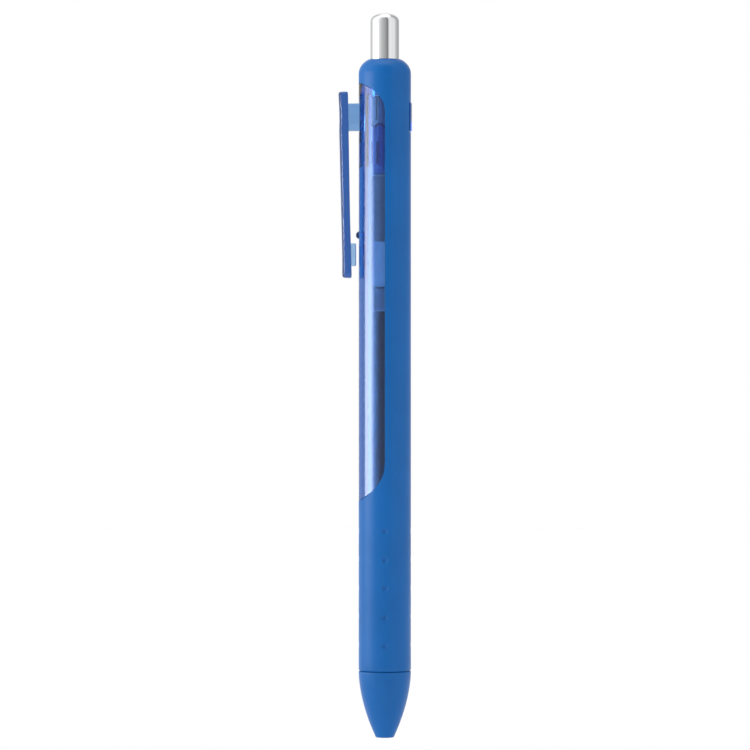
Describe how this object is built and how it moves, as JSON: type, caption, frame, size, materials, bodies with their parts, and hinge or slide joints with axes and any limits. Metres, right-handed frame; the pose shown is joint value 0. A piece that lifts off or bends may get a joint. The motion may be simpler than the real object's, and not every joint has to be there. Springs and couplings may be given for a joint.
{
  "type": "retractable ballpoint pen",
  "caption": "Click-action ballpoint pen with a soft blue grip sleeve, a clear blue barrel window, a flexing pocket clip, a chrome push button and a sprung refill.",
  "frame": {"origin": "on the pen's axis, at the nose opening", "axes": "+Z along the pen's axis from the nose to the push button, clip on -X"},
  "size_m": [0.0148, 0.0104, 0.1448],
  "materials": {
    "soft_grip": "matte soft-touch elastomer",
    "nose_plastic": "matte soft-touch coating on moulded plastic",
    "barrel_clear": "clear blue moulded polycarbonate",
    "clip_plastic": "translucent blue moulded plastic",
    "button_chrome": "bright chrome plating on plastic",
    "plunger_plastic": "moulded white plastic",
    "rotor_plastic": "moulded blue plastic",
    "refill_clear": "clear extruded polypropylene",
    "plug_plastic": "milky moulded plastic",
    "follower_grease": "clear grease",
    "ink": "dark blue ink",
    "holder_plastic": "moulded white plastic",
    "point_metal": "turned nickel silver",
    "ball_metal": "ground carbide",
    "spring_steel": "drawn spring wire"
  },
  "bodies": {
    "barrel": {"barrel": "barrel_clear", "grip_sleeve": "soft_grip"},
    "nose": {"nose_cone": "nose_plastic"},
    "clip": {"pocket_clip": "clip_plastic"},
    "button": {"push_button": "button_chrome", "plunger": "plunger_plastic"},
    "rotor": {"cam_rotor": "rotor_plastic"},
    "spring": {"return_spring": "spring_steel"},
    "refill": {"refill_tube": "refill_clear", "refill_end_plug": "plug_plastic", "grease_follower": "follower_grease", "ink_column": "ink", "tip_holder": "holder_plastic", "point_cone": "point_metal"},
    "ball": {"writing_ball": "ball_metal"}
  },
  "joints": [
    {"name": "button_press", "type": "slide", "parent": "barrel", "child": "button", "axis": [0, 0, 1], "range_m": [-0.0065, 0], "stiffness_N_per_m": 500, "springref_m": 0.005, "deforming": ["return_spring"]},
    {"name": "rotor_slide", "type": "slide", "parent": "barrel", "child": "rotor", "axis": [0, 0, 1], "range_m": [-0.0065, 0]},
    {"name": "refill_slide", "type": "slide", "parent": "barrel", "child": "refill", "axis": [0, 0, 1], "range_m": [-0.0065, 0]},
    {"name": "ball_roll", "type": "hinge", "parent": "refill", "child": "ball", "pos_m": [0, 0, 0.00175], "axis": [0, 1, 0], "continuous": true},
    {"name": "nose_cone_advance", "type": "slide", "parent": "barrel", "child": "spring", "axis": [0, 0, -1], "range_m": [0, 0.004]},
    {"name": "nose_cone_turn", "type": "hinge", "parent": "spring", "child": "nose", "pos_m": [0, 0, 0.0066], "axis": [0, 0, -1], "range_deg": [0, 1440]},
    {"name": "clip_flex", "type": "hinge", "parent": "barrel", "child": "clip", "pos_m": [-0.0047, 0, 0.12395], "axis": [0, 1, 0], "range_deg": [0, 5], "stiffness_Nm_per_rad": 1.35, "springref_deg": -2.86}
  ],
  "couplings": [
    {"joint": "rotor_slide", "follows": "button_press", "ratio": 1},
    {"joint": "refill_slide", "follows": "button_press", "ratio": 1},
    {"joint": "nose_cone_turn", "follows": "nose_cone_advance", "rad_per_m": 6283.2}
  ]
}
